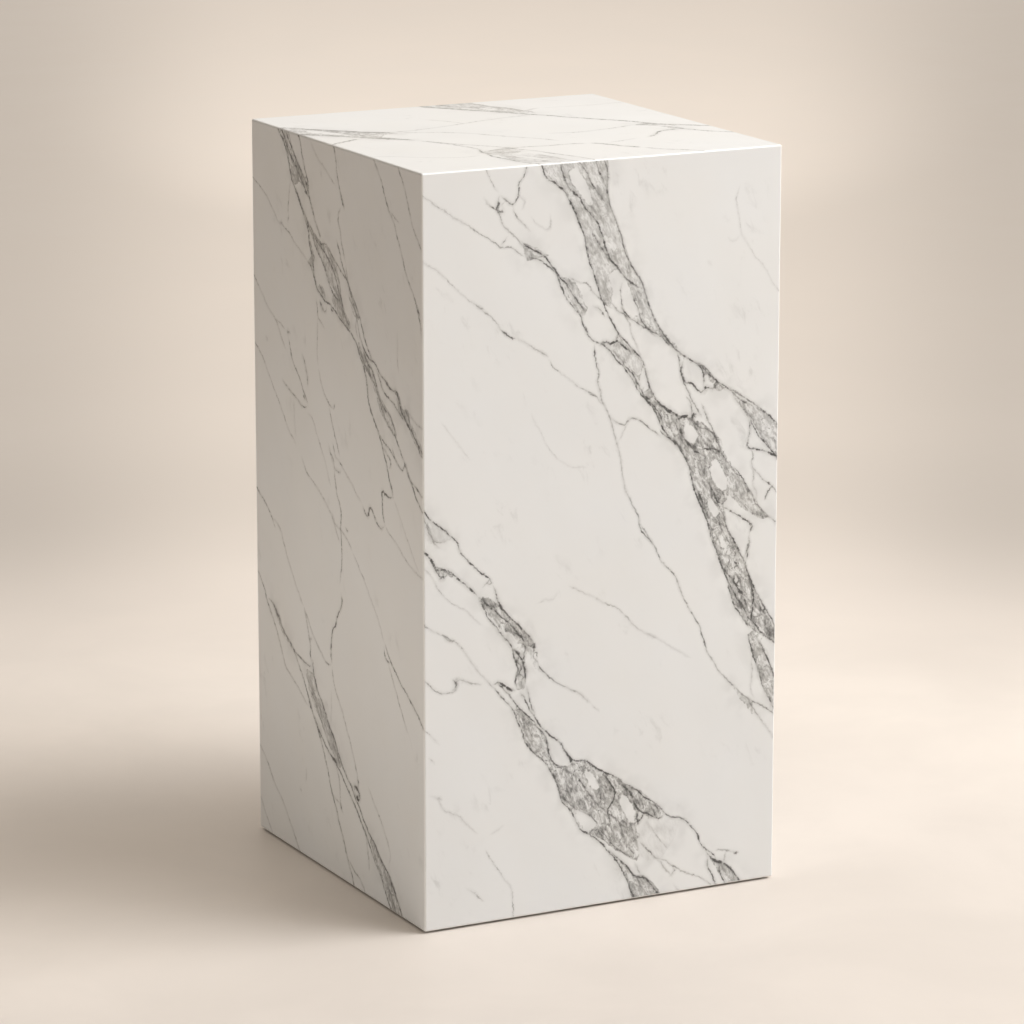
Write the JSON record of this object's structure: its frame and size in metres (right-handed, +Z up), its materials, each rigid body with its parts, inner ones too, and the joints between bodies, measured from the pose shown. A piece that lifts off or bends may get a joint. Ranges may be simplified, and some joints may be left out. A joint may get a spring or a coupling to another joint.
{
  "type": "marble block",
  "caption": "Tall square upright block of polished white marble with grey veining, eased edges and a narrow shadow gap round its foot.",
  "frame": {"origin": "middle of the underside, at the level the block stands on", "axes": "+Z up along the block's height; +X and +Y square to its side faces, with the widest shown face towards -Y"},
  "size_m": [0.4, 0.4, 0.765],
  "materials": {
    "marble": "polished white marble with grey brecciated veins"
  },
  "bodies": {
    "root": {"marble_block": "marble"}
  },
  "joints": []
}
